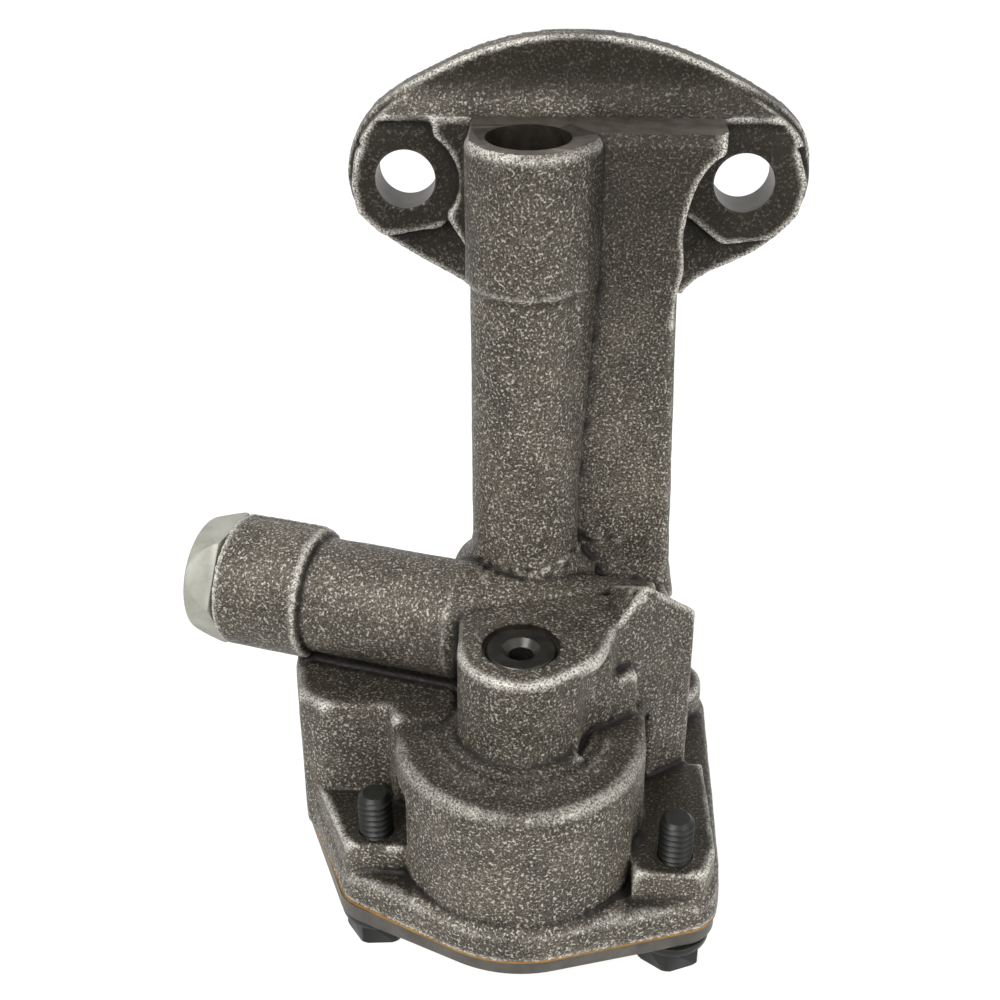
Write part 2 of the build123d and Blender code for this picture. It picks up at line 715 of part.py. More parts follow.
with BuildPart() as drive_gear:
    add(gear_face(-90, Plane.XY.offset(up(gear_bottom))))
    extrude(amount=gear_width)
    with BuildSketch(Plane.XY.offset(up(gear_bottom))):
        Circle(shaft_radius)
    extrude(amount=gear_width, mode=Mode.SUBTRACT)
    with BuildSketch(Plane.XY.offset(up(gear_bottom))):
        with Locations(((key_inner + key_outer) / 2, 0)):
            Rectangle(key_outer - key_inner, key_width)
    extrude(amount=gear_width, mode=Mode.SUBTRACT)
drive_gear.part.label = "drive_gear"
export_step(drive_gear.part, "parts/drive_gear.step")

with BuildPart() as drive_gear_key:
    with BuildSketch(Plane.XY.offset(up(gear_bottom + 4.0))):
        with Locations(((key_inner + key_outer) / 2, 0)):
            Rectangle(key_outer - key_inner, key_width)
    extrude(amount=key_length)
drive_gear_key.part.label = "drive_gear_key"
export_step(drive_gear_key.part, "parts/drive_gear_key.step")

with BuildPart() as idler_gear:
    add(gear_face(110, Plane.XY.offset(up(gear_bottom))).moved(Location((0, idler_y, 0))))
    extrude(amount=gear_width)
    with BuildSketch(Plane.XY.offset(up(gear_bottom))):
        with Locations((0, idler_y)):
            Circle(shaft_radius + running_clearance + idler_bush_wall)
    extrude(amount=gear_width, mode=Mode.SUBTRACT)
idler_gear.part.label = "idler_gear"
export_step(idler_gear.part, "parts/idler_gear.step")

with BuildPart() as idler_bush:
    with BuildSketch(Plane.XY.offset(up(gear_bottom))):
        with Locations((0, idler_y)):
            Circle(shaft_radius + running_clearance + idler_bush_wall)
            Circle(shaft_radius + running_clearance, mode=Mode.SUBTRACT)
    extrude(amount=gear_width)
idler_bush.part.label = "idler_bush"
export_step(idler_bush.part, "parts/idler_bush.step")

idler_shaft_recess = 0.5
with BuildPart() as idler_shaft:
    with BuildSketch(Plane.XY.offset(up(gear_bottom))):
        with Locations((0, idler_y)):
            Circle(shaft_radius)
    extrude(amount=ledge_height - idler_shaft_recess - gear_bottom)
    chamfer(idler_shaft.faces().filter_by(Axis.Z).edges(), 0.5)
    with Locations((0, idler_y, up(ledge_height - idler_shaft_recess))):
        Cone(centre_drill_radius, 3.4, 1.2, align=(Align.CENTER, Align.CENTER, Align.MAX),
             mode=Mode.SUBTRACT)
    with BuildSketch(Plane.XY.offset(up(ledge_height - idler_shaft_recess))):
        with Locations((0, idler_y)):
            Circle(centre_drill_radius)
    extrude(amount=-5.5, mode=Mode.SUBTRACT)
idler_shaft.part.label = "idler_shaft"
export_step(idler_shaft.part, "parts/idler_shaft.step")

with BuildPart() as drive_bush_lower:
    with BuildSketch(Plane.XY.offset(up(pocket_depth))):
        Circle(bush_seat_radius)
        Circle(shaft_radius + running_clearance, mode=Mode.SUBTRACT)
    extrude(amount=bush_length)
drive_bush_lower.part.label = "drive_bush_lower"
export_step(drive_bush_lower.part, "parts/drive_bush_lower.step")

with BuildPart() as drive_bush_upper:
    with BuildSketch(Plane.XY.offset(-neck_bore_depth)):
        Circle(bush_seat_radius)
        Circle(shaft_radius + running_clearance, mode=Mode.SUBTRACT)
    extrude(amount=-bush_length)
drive_bush_upper.part.label = "drive_bush_upper"
export_step(drive_bush_upper.part, "parts/drive_bush_upper.step")

# --- relief valve ---
plunger_radius = relief_bore_radius - plunger_clearance
with BuildPart() as relief_plunger:
    with BuildSketch(relief_plane(relief_bore_start)):
        Circle(plunger_radius)
    extrude(amount=plunger_length)
    chamfer(relief_plunger.edges().filter_by(GeomType.CIRCLE), 0.5)
    with BuildSketch(relief_plane(relief_bore_start + plunger_floor)):
        Circle(plunger_radius - plunger_wall)
    extrude(amount=plunger_length, mode=Mode.SUBTRACT)
relief_plunger.part.label = "relief_plunger"
export_step(relief_plunger.part, "parts/relief_plunger.step")

plug_inner = relief_head_end - plug_thread_length
shim_seat = plug_inner + plug_hollow_depth
spring_start = relief_bore_start + plunger_floor
spring_length = shim_seat - shim_thickness - spring_start
spring_rise = spring_length - 2 * spring_wire_radius
with BuildPart() as relief_spring:
    with BuildLine() as spring_line:
        Helix(spring_rise / spring_turns, spring_rise, spring_radius,
              center=relief_plane(spring_start + spring_wire_radius).origin, direction=relief_dir)
    with BuildSketch(Plane(origin=spring_line.line @ 0, z_dir=spring_line.line % 0)):
        Circle(spring_wire_radius)
    sweep(is_frenet=True)
relief_spring.part.label = "relief_spring"
export_step(relief_spring.part, "parts/relief_spring.step")

with BuildPart() as relief_spring_shim:
    with BuildSketch(relief_plane(shim_seat - shim_thickness)):
        Circle(plug_hollow_radius - 0.1)
        Circle(1.8, mode=Mode.SUBTRACT)
    extrude(amount=shim_thickness)
relief_spring_shim.part.label = "relief_spring_shim"
export_step(relief_spring_shim.part, "parts/relief_spring_shim.step")

with BuildPart() as relief_plug_washer:
    with BuildSketch(relief_plane(relief_head_end)):
        Circle(washer_radius)
        Circle(plug_thread_radius, mode=Mode.SUBTRACT)
    extrude(amount=washer_thickness)
relief_plug_washer.part.label = "relief_plug_washer"
export_step(relief_plug_washer.part, "parts/relief_plug_washer.step")

# Envelope of the plug: its hex corners are turned down to a cone towards the outer end.
with BuildPart() as plug_cone:
    with BuildSketch(relief_plane(plug_inner)):
        Circle(plug_hex_flats)
    extrude(amount=plug_thread_length + washer_thickness)
    with BuildSketch(relief_plane(relief_head_end + washer_thickness)):
        Circle(plug_hex_flats / 2 + 1.9)
    with BuildSketch(relief_plane(relief_head_end + washer_thickness + plug_hex_thickness)):
        Circle(plug_end_radius)
    loft()

with BuildPart() as relief_plug:
    with BuildSketch(relief_plane(plug_inner)):
        Circle(plug_thread_radius)
    extrude(amount=plug_thread_length + washer_thickness)
    with BuildSketch(relief_plane(relief_head_end + washer_thickness)):
        RegularPolygon(plug_hex_flats / 2, 6, major_radius=False, rotation=plug_hex_turn)
    extrude(amount=plug_hex_thickness)
    add(plug_cone.part, mode=Mode.INTERSECT)
    with BuildSketch(relief_plane(plug_inner)):
        Circle(plug_hollow_radius)
    extrude(amount=plug_hollow_depth, mode=Mode.SUBTRACT)
relief_plug.part.label = "relief_plug"
export_step(relief_plug.part, "parts/relief_plug.step")
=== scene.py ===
import json
import math

import bpy
import numpy as np
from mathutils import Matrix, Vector
from mathutils import noise as noiseTools

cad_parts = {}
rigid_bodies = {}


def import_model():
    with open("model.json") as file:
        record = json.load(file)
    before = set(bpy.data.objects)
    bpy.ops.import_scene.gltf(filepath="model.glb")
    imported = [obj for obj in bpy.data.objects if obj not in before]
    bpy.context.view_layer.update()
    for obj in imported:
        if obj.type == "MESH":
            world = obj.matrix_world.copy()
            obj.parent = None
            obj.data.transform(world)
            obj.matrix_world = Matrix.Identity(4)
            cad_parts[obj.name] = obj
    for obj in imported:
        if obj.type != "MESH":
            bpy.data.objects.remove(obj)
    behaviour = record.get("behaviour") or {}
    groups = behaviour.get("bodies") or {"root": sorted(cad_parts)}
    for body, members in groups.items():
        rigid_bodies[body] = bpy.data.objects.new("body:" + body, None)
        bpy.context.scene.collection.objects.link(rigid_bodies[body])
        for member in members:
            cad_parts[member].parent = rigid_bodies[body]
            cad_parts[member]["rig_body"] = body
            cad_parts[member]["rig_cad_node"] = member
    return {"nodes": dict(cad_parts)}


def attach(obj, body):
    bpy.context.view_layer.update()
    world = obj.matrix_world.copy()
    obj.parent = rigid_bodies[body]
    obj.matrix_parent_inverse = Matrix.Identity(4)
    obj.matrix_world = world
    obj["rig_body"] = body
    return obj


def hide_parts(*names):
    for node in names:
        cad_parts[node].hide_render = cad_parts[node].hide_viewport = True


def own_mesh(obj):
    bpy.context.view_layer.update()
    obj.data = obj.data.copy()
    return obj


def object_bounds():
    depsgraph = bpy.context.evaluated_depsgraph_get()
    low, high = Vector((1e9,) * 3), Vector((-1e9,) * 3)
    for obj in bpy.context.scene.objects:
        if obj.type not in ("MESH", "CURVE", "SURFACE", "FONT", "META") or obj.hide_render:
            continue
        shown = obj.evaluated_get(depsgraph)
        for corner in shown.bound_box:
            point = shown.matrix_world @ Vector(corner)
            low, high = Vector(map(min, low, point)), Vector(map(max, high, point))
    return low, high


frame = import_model()
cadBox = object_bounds()
mm = 0.001
floorZ = -132.08  # gasket face, below the neck's machined top, in mm
nodes = frame["nodes"]


# ---- small helpers ----

def clearSelection():
    if bpy.context.object and bpy.context.object.mode != "OBJECT":
        bpy.ops.object.mode_set(mode="OBJECT")
    bpy.ops.object.select_all(action="DESELECT")


def pick(*objects):
    clearSelection()
    for item in objects:
        item.select_set(True)
    bpy.context.view_layer.objects.active = objects[0]


def applyModifier(item, kind, **settings):
    pick(item)
    bpy.ops.object.modifier_add(type=kind)
    modifier = item.modifiers[-1]
    for key, value in settings.items():
        setattr(modifier, key, value)
    bpy.ops.object.modifier_apply(modifier=modifier.name)


def cylinder(name, centre, axis, radius, low, high, sides=96, topRadius=None):
    # a round bar from low to high mm along axis, measured from centre
    axis = Vector(axis).normalized()
    middle = (Vector(centre) + axis * (low + high) / 2) * mm
    turn = axis.to_track_quat("Z", "Y").to_euler()
    clearSelection()
    bpy.ops.mesh.primitive_cone_add(vertices=sides, radius1=radius * mm,
                                    radius2=(radius if topRadius is None else topRadius) * mm,
                                    depth=(high - low) * mm, location=middle, rotation=turn)
    made = bpy.context.object
    made.name = name
    return made


def join(items, name):
    pick(*items)
    bpy.ops.object.join()
    items[0].name = name
    return items[0]


def carve(item, tool, operation="DIFFERENCE", solver="MANIFOLD"):
    applyModifier(item, "BOOLEAN", object=tool, operation=operation, solver=solver)
    bpy.data.objects.remove(tool)


def settle(item, name, body, slotName, *replaced):
    # bakes the transform, names the piece and hangs it on its CAD body
    pick(item)
    bpy.ops.object.transform_apply(location=True, rotation=True, scale=True)
    item.name = name
    item.data.name = name
    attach(item, body)
    if replaced:
        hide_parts(*replaced)


def roundEdges(item, angle):
    pick(item)
    bpy.ops.object.shade_smooth_by_angle(angle=math.radians(angle))


def paint(item, *materials):
    item.data.materials.clear()
    for material in materials:
        item.data.materials.append(material)


def readMesh(mesh):
    # every vertex's place in mm and the way it faces
    places = np.empty(len(mesh.vertices) * 3, np.float32)
    facing = np.empty(len(mesh.vertices) * 3, np.float32)
    mesh.vertices.foreach_get("co", places)
    mesh.vertices.foreach_get("normal", facing)
    return places.reshape(-1, 3) / mm, facing.reshape(-1, 3)


def placeVertices(item, places):
    # moves every vertex to its place in mm
    item.data.vertices.foreach_set("co", (places * mm).astype(np.float32).ravel())
    item.data.update()


def flatGrid(across, along):
    # a grid that gets wrapped into a thread or a coil, and how far along each side its vertices lie
    clearSelection()
    bpy.ops.mesh.primitive_grid_add(x_subdivisions=across, y_subdivisions=along, size=1)
    grid = bpy.context.object
    spots = np.empty(len(grid.data.vertices) * 3, np.float32)
    grid.data.vertices.foreach_get("co", spots)
    spots = spots.reshape(-1, 3) + 0.5
    return grid, spots[:, 0], spots[:, 1]


def rise(values, start, span):
    # 0 up to start, then evenly up to 1 over span
    return np.clip((values - start) / span, 0, 1)


def fall(values, end, span):
    # 1 until span before end, then evenly down to 0
    return np.clip((end - values) / span, 0, 1)


# ---- materials ----

def linear(code):
    # sRGB hex colour to linear values
    channels = [int(code[i:i + 2], 16) / 255 for i in (1, 3, 5)]
    return tuple(c / 12.92 if c <= 0.04045 else ((c + 0.055) / 1.055) ** 2.4 for c in channels) + (1.0,)


def newMaterial(name):
    material = bpy.data.materials.new(name)
    material.use_nodes = True
    tree = material.node_tree
    shader = tree.nodes["Principled BSDF"]
    return material, tree, shader


def addNode(tree, kind, inputs=None, **settings):
    # adds a node; inputs maps socket names or numbers to values or to (node, output) pairs
    node = tree.nodes.new(kind)
    for key, value in settings.items():
        setattr(node, key, value)
    for key, value in (inputs or {}).items():
        if isinstance(value, tuple) and len(value) == 2 and hasattr(value[0], "outputs"):
            tree.links.new(value[0].outputs[value[1]], node.inputs[key])
        else:
            node.inputs[key].default_value = value
    return node


def feed(tree, node, output, shader, socket):
    tree.links.new(node.outputs[output], shader.inputs[socket])


def ramp(tree, source, output, stops):
    node = addNode(tree, "ShaderNodeValToRGB", {0: (source, output)})
    while len(node.color_ramp.elements) < len(stops):
        node.color_ramp.elements.new(0.5)
    for element, (place, code) in zip(node.color_ramp.elements, stops):
        element.position = place
        element.color = linear(code) if isinstance(code, str) else (code, code, code, 1)
    return node


def noise(tree, coords, size, detail, roughness):
    # size is the pattern's grain in mm
    return addNode(tree, "ShaderNodeTexNoise", {"Vector": (coords, "Object"), "Scale": 1000.0 / size,
                   "Detail": detail, "Roughness": roughness})


def mixColour(tree, factor, first, second, blend="MIX"):
    values = {0: factor, 6: first, 7: second}
    return addNode(tree, "ShaderNodeMix", values, data_type="RGBA", blend_type=blend)


# cast iron straight from the sand mould: a grey-brown oily skin with a sandy grain of about
# a third of a millimetre, flecked with painted glints, its edges brighter from wear and a painted highlight,
# painted shade in the corners and a dark film of painted shade
castLook = {"dark": "#2d2820", "middle": "#514b42", "light": "#7e786d", "glintSpeck": "#c2bdb1",
            "oil": "#110e09", "rubbedHighlight": "#c9c5bc", "film": "#171309", "grain": 0.36, "speckSize": 0.48,
            "coarse": 1.5, "mottle": 9.0, "rough": 0.48, "metal": 0.3, "shine": 0.25, "bump": 0.10}


def makeCastIron():
    material, tree, shader = newMaterial("sandCastIron")
    look = castLook
    coords = addNode(tree, "ShaderNodeTexCoord")
    grain = noise(tree, coords, look["grain"], 2.0, 0.75)
    flecks = noise(tree, coords, look["speckSize"], 1.0, 0.6)
    coarse = noise(tree, coords, look["coarse"], 3.0, 0.6)
    mottle = noise(tree, coords, look["mottle"], 4.0, 0.62)
    skin = ramp(tree, grain, "Fac", [(0.32, look["dark"]), (0.50, look["middle"]),
                                     (0.70, look["light"])])
    stain = ramp(tree, mottle, "Fac", [(0.36, 0.62), (0.62, 1.0)])
    stained = mixColour(tree, 1.0, (skin, 0), (stain, 0), "MULTIPLY")
    # painted glints: the grain's brightest flecks are coloured near white
    bright = ramp(tree, flecks, "Fac", [(0.55, 0.0), (0.72, 0.85)])
    glintFlecked = mixColour(tree, (bright, 0), (stained, 2), linear(look["glintSpeck"]))
    # painted shade: a dark film over upward faces and over the plate, the right column and the upper body
    film = addNode(tree, "ShaderNodeAttribute", attribute_name="oilFilm")
    shadeFilmShare = addNode(tree, "ShaderNodeMath", {0: (film, "Fac"), 1: 0.88}, operation="MULTIPLY")
    shaded = mixColour(tree, (shadeFilmShare, 0), (glintFlecked, 2), linear(look["film"]))
    # painted shade: faces that bend inward are darkened towards near black
    hollow = addNode(tree, "ShaderNodeAttribute", attribute_name="cornerOil")
    # edges that bend outward are brightened: part wear, part painted highlight
    wearAndHighlight = addNode(tree, "ShaderNodeAttribute", attribute_name="edgeWear")
    broken = ramp(tree, grain, "Fac", [(0.40, 0.12), (0.58, 1.0)])
    rubbedHighlight = addNode(tree, "ShaderNodeMath", {0: (wearAndHighlight, "Fac"), 1: (broken, 0)}, operation="MULTIPLY")
    cornerShaded = mixColour(tree, (hollow, "Fac"), (shaded, 2), linear(look["oil"]))
    edged = mixColour(tree, (rubbedHighlight, 0), (cornerShaded, 2), linear(look["rubbedHighlight"]))
    feed(tree, edged, 2, shader, "Base Color")
    shine = ramp(tree, coarse, "Fac", [(0.3, look["rough"] - 0.10), (0.7, look["rough"] + 0.14)])
    feed(tree, shine, 0, shader, "Roughness")
    shader.inputs["Metallic"].default_value = look["metal"]
    shader.inputs["Specular IOR Level"].default_value = look["shine"]
    height = addNode(tree, "ShaderNodeMath", {0: (grain, "Fac"), 1: (coarse, "Fac")}, operation="ADD")
    bump = addNode(tree, "ShaderNodeBump", {"Height": (height, 0), "Strength": 1.0,
                                            "Distance": look["bump"] * mm})
    feed(tree, bump, 0, shader, "Normal")
    return material


# iron cut to size: smooth grey with the cutter's fine lines
cutLook = {"dark": "#4b453e", "light": "#6b655c", "lines": 0.35, "rough": 0.38, "metal": 0.75}


def makeCutIron(name, look):
    material, tree, shader = newMaterial(name)
    coords = addNode(tree, "ShaderNodeTexCoord")
    cloud = noise(tree, coords, 3.0, 4.0, 0.6)
    body = ramp(tree, cloud, "Fac", [(0.3, look["dark"]), (0.7, look["light"])])
    feed(tree, body, 0, shader, "Base Color")
    wave = addNode(tree, "ShaderNodeTexWave", {"Vector": (coords, "Object"),
                   "Scale": 1000 / look["lines"] / 20, "Distortion": 0.6},
                   wave_type="BANDS", bands_direction="DIAGONAL")
    bump = addNode(tree, "ShaderNodeBump", {"Height": (wave, "Fac"), "Strength": 0.25, "Distance": 0.01 * mm})
    feed(tree, bump, 0, shader, "Normal")
    shader.inputs["Roughness"].default_value = look["rough"]
    shader.inputs["Metallic"].default_value = look["metal"]
    return material


def makePlain(name, dark, light, size, rough, metal, bumpDepth):
    # one finish with a soft cloud of darker and lighter tone, size mm across, and a fine bump
    material, tree, shader = newMaterial(name)
    coords = addNode(tree, "ShaderNodeTexCoord")
    cloud = noise(tree, coords, size, 4.0, 0.6)
    fine = noise(tree, coords, 0.3, 2.0, 0.5)
    body = ramp(tree, cloud, "Fac", [(0.3, dark), (0.7, light)])
    feed(tree, body, 0, shader, "Base Color")
    shine = ramp(tree, cloud, "Fac", [(0.3, rough - 0.05), (0.7, rough + 0.06)])
    feed(tree, shine, 0, shader, "Roughness")
    shader.inputs["Metallic"].default_value = metal
    bump = addNode(tree, "ShaderNodeBump", {"Height": (fine, "Fac"), "Strength": 0.5,
                                            "Distance": bumpDepth * mm})
    feed(tree, bump, 0, shader, "Normal")
    return material


castIron = makeCastIron()
# faces cut by the mill: the neck's top, the mounting face and the gasket face
milledIron = makeCutIron("milledIron", cutLook)
# walls of the bores and pockets: a darker copy of the milled iron, painted shade inside the holes
shadedBoreIron = makeCutIron("shadedBoreIron", {**cutLook, "dark": "#2e2a25", "light": "#4c463f"})
# iron plate ground flat on its faces, then oiled
coverIron = makePlain("groundCoverIron", "#4b4843", "#65615b", 5.0, 0.45, 0.7, 0.02)
# gasket paper cut from sheet, matte tan where oil has soaked in unevenly
gasketPaper = makePlain("oiledGasketPaper", "#6e5120", "#9c7330", 2.0, 0.7, 0.0, 0.03)
# rolled steel screws, blackened in hot oxide salts and oiled
blackOxide = makePlain("blackOxideSteel", "#0f100e", "#1b1c19", 1.5, 0.42, 0.4, 0.01)
# turned steel with a pale, satin coat of zinc
plugZinc = makePlain("zincPlatedSteel", "#8b8a80", "#a3a298", 4.0, 0.5, 0.25, 0.02)
# hardened shaft, left dark by the quench
darkSteel = makePlain("hardenedSteel", "#33322f", "#464540", 3.0, 0.34, 0.8, 0.006)
# steel ground bright to size
groundSteel = makePlain("groundSteel", "#8d8d8c", "#a3a3a1", 3.0, 0.25, 0.95, 0.004)
# gear steel with its teeth cut by a hob
gearSteel = makePlain("hobbedSteel", "#77777a", "#8e8e90", 2.0, 0.35, 0.95, 0.01)
# bearing bronze, bored and reamed
bronze = makePlain("bearingBronze", "#8a6430", "#a67c40", 2.0, 0.38, 0.9, 0.01)
# spring wire, smooth from the drawing die
springSteel = makePlain("springWire", "#55565a", "#6c6d70", 2.0, 0.3, 0.95, 0.005)
# pressed black fibre, matte
sealFibre = makePlain("sealFibre", "#161513", "#24221f", 1.0, 0.75, 0.0, 0.02)
print("materials ready")


# ---- the iron casting ----

tube = {"angle": 16.2, "offsetY": -14.0, "height": 43.9, "headStart": 40.4, "headEnd": 57.2,
        "headRadius": 12.5}
tubeAxis = (-math.cos(math.radians(tube["angle"])), math.sin(math.radians(tube["angle"])), 0)
tubeSide = (-tubeAxis[1], tubeAxis[0], 0)
tubeStart = (0, tube["offsetY"], floorZ + tube["height"])
boltPoints = [(28.15, -38.1), (-26.2, -33.3), (28.5, 15.0), (-17.0, 21.9)]
idlerY = -28.575
faceY = 20.5  # the milled mounting face
pocket = {"radius": 17.6, "depth": 25.52}
flangeHole = {"radius": 5.25, "height": 120.7, "left": -21.6, "right": 37.2, "front": 12.2}
holeLeft = (flangeHole["left"], 0, floorZ + flangeHole["height"])
holeRight = (flangeHole["right"], 0, floorZ + flangeHole["height"])
castBody = {"voxel": 0.5, "smoothing": 10, "waves": 0.12, "waveSize": 6.0, "faces": 165000}

# as-cast details, in mm; heights are above the gasket face
web = {"place": (17.0, -22.5, 35.5), "turn": 34, "size": (9.0, 3.4, 11.0), "round": 1.5}
seam = {"angle": 118.0, "width": 0.7, "height": 0.35, "innerRadius": 11.5, "margin": 0.5}
flash = {"level": 54.6, "width": 2.0, "height": 0.55, "grain": 2.2, "back": 2.5, "left": -8.5, "right": 24}
bossRing = {"low": 26, "high": 40, "front": -26, "fade": 5, "rings": [(12.9, 0.7, 1.1), (15.4, 0.9, 1.8)]}

# milled faces: how near a vertex lies to the plane it's moved to, and where each face ends
cuts = {"near": 0.35, "neckBack": 11.8, "faceNear": 20.1, "stock": 0.5, "faceBottom": -50}
mill = {"place": (8, faceY + 10, -10), "size": (140, 20, 90)}

# the painted shade film: start and span of each fade, in mm, and for upward in how far a face turns up
oil = {"plate": (-42, 18), "behind": (6, 4), "column": (70, 50), "columnSide": (8.5, 2), "upper": (60, 70),
       "upward": (0.55, 0.3), "ledge": (44, 3), "waist": (25, 6), "waistTop": (56, 6), "base": 14, "pads": 19}

# holes: name, centre, axis, radius, low, high, open at low end, open at high end
holes = [
    ("neckMouth", (0, 0, 0), (0, 0, 1), 7.2, -26.0, 0.0, False, True),
    ("bushSeats", (0, 0, 0), (0, 0, 1), 7.0, -45.0, -26.0, False, False),
    ("lowerSeat", (0, 0, floorZ), (0, 0, 1), 7.0, 0.0, 44.5, False, False),
    ("shaftRoom", (0, 0, floorZ), (0, 0, 1), 6.7, 44.0, 88.0, False, False),
    ("drivePocket", (0, 0, floorZ), (0, 0, 1), pocket["radius"], 0.0, pocket["depth"], True, False),
    ("idlerPocket", (0, idlerY, floorZ), (0, 0, 1), pocket["radius"], 0.0, pocket["depth"], True, False),
    ("idlerSeat", (0, idlerY, floorZ), (0, 0, 1), 6.4, 25.0, 50.8, False, True),
    ("idlerRing", (0, idlerY, floorZ), (0, 0, 1), 6.85, 49.8, 50.8, False, True),
    ("passage", (18.3, 8.2, floorZ), (0, 0, 1), 4.75, 0.0, 117.0, True, False),
    ("outlet", (18.3, 0, floorZ + 112.0), (0, 1, 0), 5.0, 11.5, faceY, False, True),
    ("inlet", (-32.0, 0, floorZ + 15.6), (0, 1, 0), 7.94, -6.0, 17.0, False, True),
    ("flangeHoleLeft", holeLeft, (0, 1, 0), flangeHole["radius"], flangeHole["front"], faceY, True, True),
    ("flangeHoleRight", holeRight, (0, 1, 0), flangeHole["radius"], flangeHole["front"], faceY, True, True),
    ("reliefBore", tubeStart, tubeAxis, 6.0, 16.0, 47.0, False, False),
    ("plugThread", tubeStart, tubeAxis, 7.94, 46.1, tube["headEnd"], False, True),
]
holes += [("tapped%d" % i, (x, y, floorZ), (0, 0, 1), 3.25, 0.0, 12.7, True, True)
          for i, (x, y) in enumerate(boltPoints)]


def insideHole(points, hole, room, ends):
    # which points lie within room of the hole's wall or inside it, and within ends of its length
    name, centre, axis, radius, low, high, openLow, openHigh = hole
    offset = points - np.array(centre)
    reach = offset @ np.array(axis)
    spread = np.linalg.norm(offset - reach[:, None] * np.array(axis), axis=1)
    return (spread < radius + room) & (reach > low - ends) & (reach < high + ends)


def castSeams(skin):
    # the mould's parting seam along the valve head, and ragged flash where the neck's foot starts
    places, facing = readMesh(skin.data)
    offset = places - np.array(tubeStart)
    along = offset @ np.array(tubeAxis)
    side = offset @ np.array(tubeSide)
    angle = np.degrees(np.arctan2(offset[:, 2], side))
    spread = np.hypot(side, offset[:, 2])
    gap = np.abs(angle - seam["angle"]) * math.pi / 180 * tube["headRadius"]
    line = np.clip(1 - gap / seam["width"], 0, 1) * (spread > seam["innerRadius"])
    push = line * (along > tube["headStart"] - seam["margin"]) * seam["height"]
    heights = places[:, 2] - floorZ
    band = np.clip(1 - np.abs(heights - flash["level"]) / flash["width"], 0, 1)
    band *= (places[:, 1] < flash["back"]) * (places[:, 0] > flash["left"])
    band *= (places[:, 0] < flash["right"]) * (facing[:, 1] < 0.3)
    for index in np.nonzero(band > 0.02)[0].tolist():
        spot = Vector(places[index].tolist()) / flash["grain"]
        rough = noiseTools.noise(spot) + 0.5 * noiseTools.noise(spot * 2.3)
        push[index] += band[index] * flash["height"] * max(-0.4, rough)
    # the lobe's top climbs to a low ring round the idler boss
    reach = np.hypot(places[:, 0], places[:, 1] - idlerY)
    top = rise(facing[:, 2], 0.35, 0.3) * (heights > bossRing["low"]) * (heights < bossRing["high"])
    top *= fall(places[:, 1], bossRing["front"], bossRing["fade"])
    push += top * sum(height * np.exp(-((reach - radius) / width) ** 2)
                      for radius, height, width in bossRing["rings"])
    placeVertices(skin, places + facing * push[:, None])


def flattenCuts(skin):
    # the neck's top, the mounting face and the gasket face are plane
    places, facing = readMesh(skin.data)
    top = (np.abs(places[:, 2]) < cuts["near"]) & (facing[:, 2] > 0.6) & (places[:, 1] < cuts["neckBack"])
    places[top, 2] = 0.0
    # the mounting face keeps half a millimetre for the mill
    face = (places[:, 1] > cuts["faceNear"]) & (facing[:, 1] > 0.6) & (places[:, 2] > cuts["faceBottom"])
    places[face, 1] = faceY + cuts["stock"]
    places[(places[:, 2] < floorZ + cuts["near"]) & (facing[:, 2] < -0.6), 2] = floorZ
    placeVertices(skin, places)


def markPaintedLightAndWear(item, blur):
    # how sharply the skin bends outward (wear and a painted highlight on the edges) or inward (painted shade
    # in the corners), from its own mesh
    mesh = item.data
    places, facing = readMesh(mesh)
    ends = np.empty(len(mesh.edges) * 2, np.int32)
    mesh.edges.foreach_get("vertices", ends)
    first, second = ends.reshape(-1, 2).T
    span = places[second] - places[first]
    length = np.maximum(np.linalg.norm(span, axis=1), 0.02)
    count = len(places)
    lift = [(facing[first] * span).sum(1) / length, -(facing[second] * span).sum(1) / length]
    total = np.bincount(first, lift[0], count) + np.bincount(second, lift[1], count)
    share = np.bincount(first, length, count) + np.bincount(second, length, count)
    bend = np.clip(-2 * total / np.maximum(share, 0.01), -2, 2)
    for _ in range(blur):
        around = np.bincount(first, bend[second], count) + np.bincount(second, bend[first], count)
        links = np.bincount(first, minlength=count) + np.bincount(second, minlength=count)
        bend = 0.5 * bend + 0.5 * around / np.maximum(links, 1)
    # a machined hole's edge is crisp, so no wear or painted highlight is drawn there
    clear = np.ones(count)
    for hole in holes:
        clear[insideHole(places, hole, 1.8, 2)] = 0
    # painted shade is heaviest on the plate, down the right column and on what faces up round the housing
    heights = places[:, 2] - floorZ
    film = rise(places[:, 2], *oil["plate"]) * rise(places[:, 1], *oil["behind"])
    film *= 1 - 0.75 * rise(facing[:, 2], 0.3, 0.3)
    film = np.maximum(film, 0.85 * rise(heights, *oil["column"]) * rise(places[:, 0], *oil["columnSide"]))
    film = np.maximum(film, 0.35 * rise(heights, *oil["upper"]))
    upward = rise(facing[:, 2], *oil["upward"]) * fall(heights, *oil["ledge"])
    besideLobe = 0.9 * (np.abs(places[:, 0]) > oil["pads"])
    film = np.maximum(film, upward * np.where(heights < oil["base"], besideLobe, 0.6))
    film = np.maximum(film, 0.25 * rise(heights, *oil["waist"]) * fall(heights, *oil["waistTop"]))
    for name, value in (("edgeWear", (bend - 0.10) / 0.28 * clear), ("cornerOil", (-bend - 0.04) / 0.26),
                        ("oilFilm", film)):
        layer = mesh.attributes.new(name, "FLOAT", "POINT")
        layer.data.foreach_set("value", np.clip(value, 0, 1).astype(np.float32))


